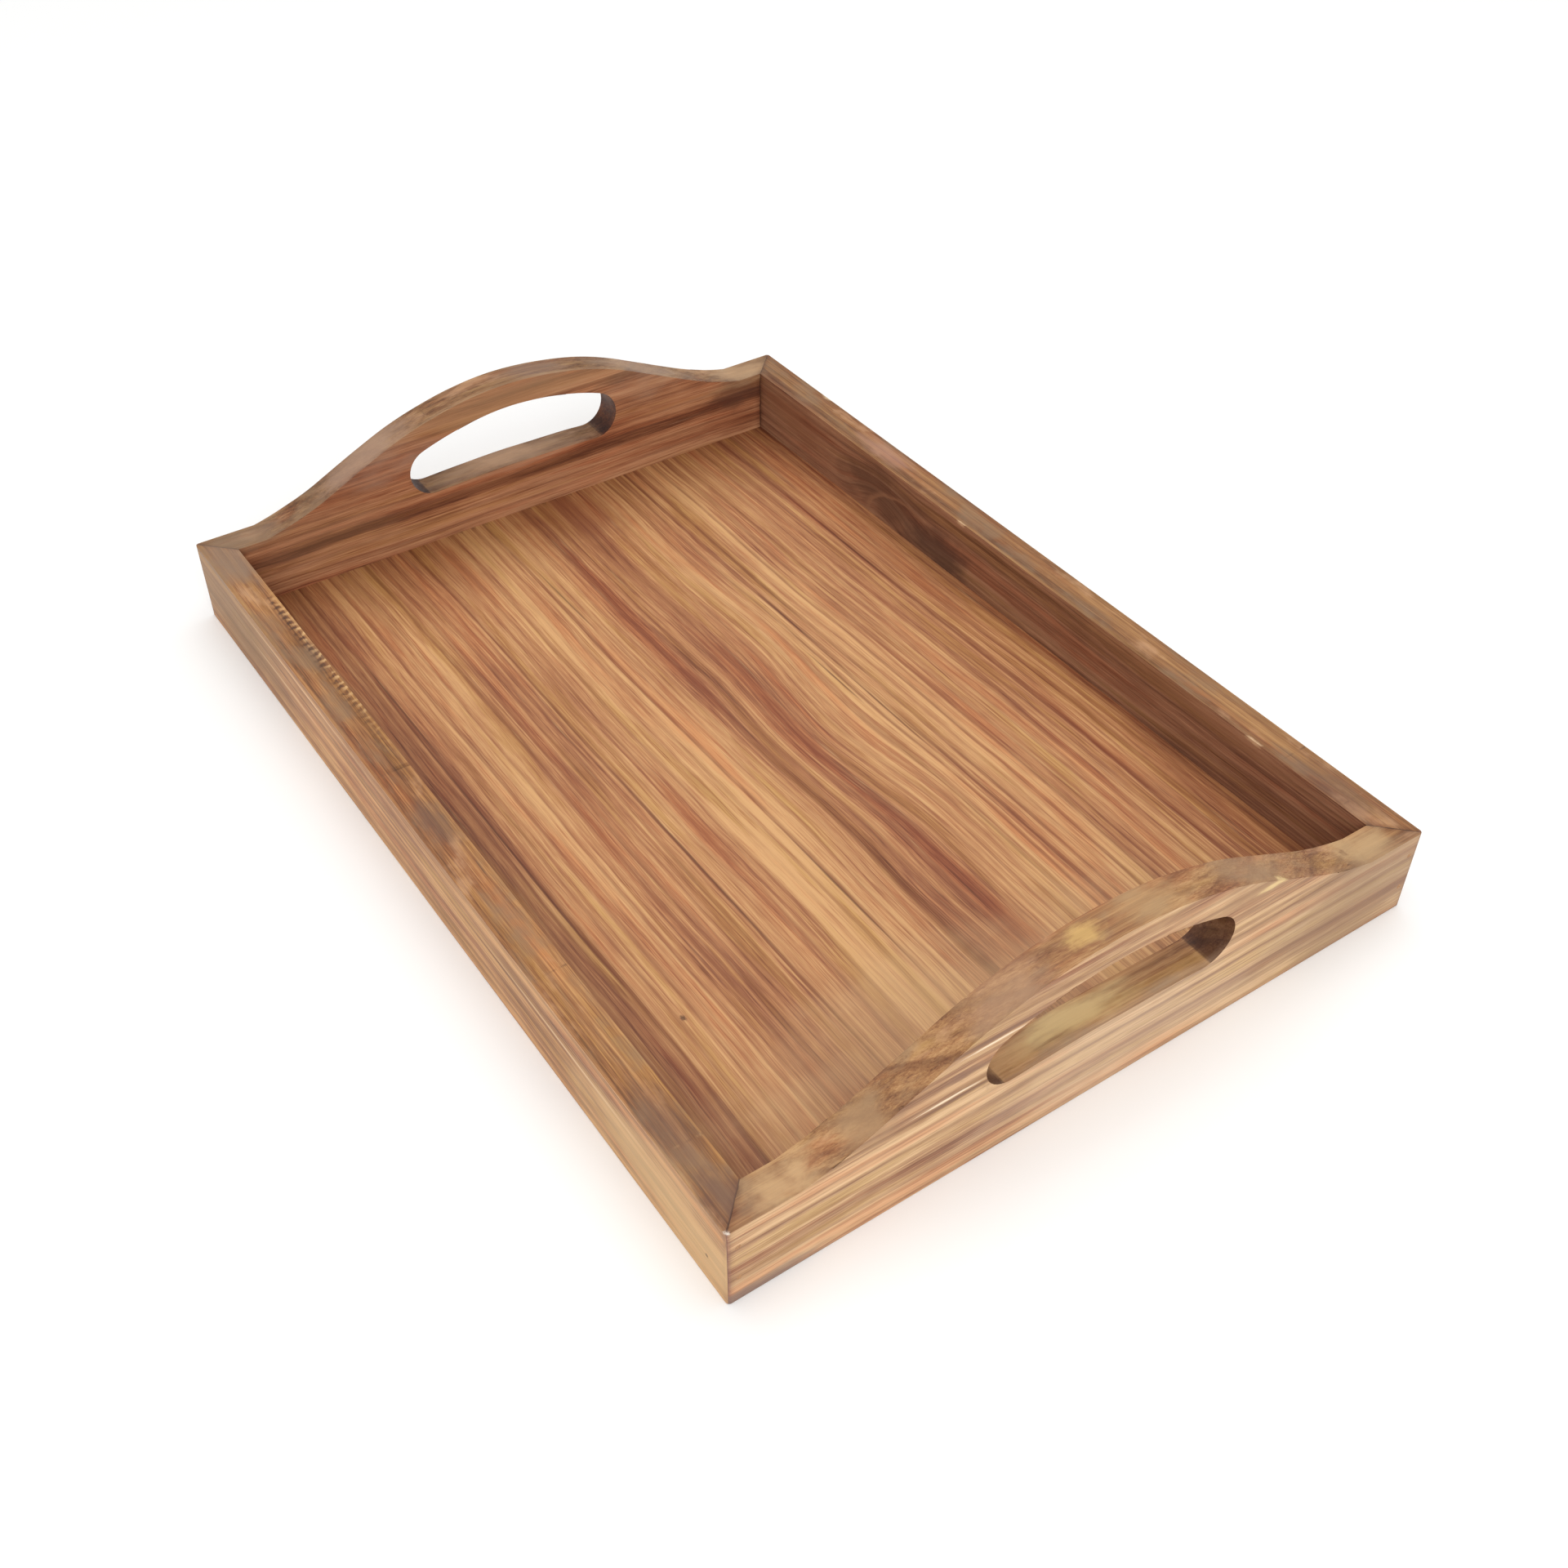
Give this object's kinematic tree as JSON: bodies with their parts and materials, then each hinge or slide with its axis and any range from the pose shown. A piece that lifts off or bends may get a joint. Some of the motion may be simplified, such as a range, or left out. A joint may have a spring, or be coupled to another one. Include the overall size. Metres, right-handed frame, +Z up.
{
  "type": "serving tray",
  "caption": "Rectangular wooden serving tray with a mitred board frame, a flat plywood floor held in a groove, and arched end boards with long grip holes.",
  "frame": {"origin": "on the surface that the tray stands on, under the centre of the tray", "axes": "+X along the tray's length towards the near handle, +Y across it towards the right rail, +Z upwards"},
  "size_m": [0.45, 0.32, 0.08],
  "materials": {
    "pine_frame": "stained softwood, sanded and waxed to a soft satin",
    "floor_veneer": "rotary-cut pine veneer with bold figure, stained and waxed, satin",
    "ply_core": "bare light veneer, matt",
    "back_veneer": "plain pine veneer, lightly sanded, matt",
    "brad_steel": "bright drawn wire",
    "wood_filler": "tinted wood filler, sanded flush"
  },
  "bodies": {
    "root": {"near_end_board": "pine_frame", "far_end_board": "pine_frame", "left_side_rail": "pine_frame", "right_side_rail": "pine_frame", "floor_face_veneer": "floor_veneer", "floor_core_ply": "ply_core", "floor_back_veneer": "back_veneer", "near_left_brads": "brad_steel", "near_left_filler": "wood_filler", "near_right_brads": "brad_steel", "near_right_filler": "wood_filler", "far_left_brads": "brad_steel", "far_left_filler": "wood_filler", "far_right_brads": "brad_steel", "far_right_filler": "wood_filler"}
  },
  "joints": []
}
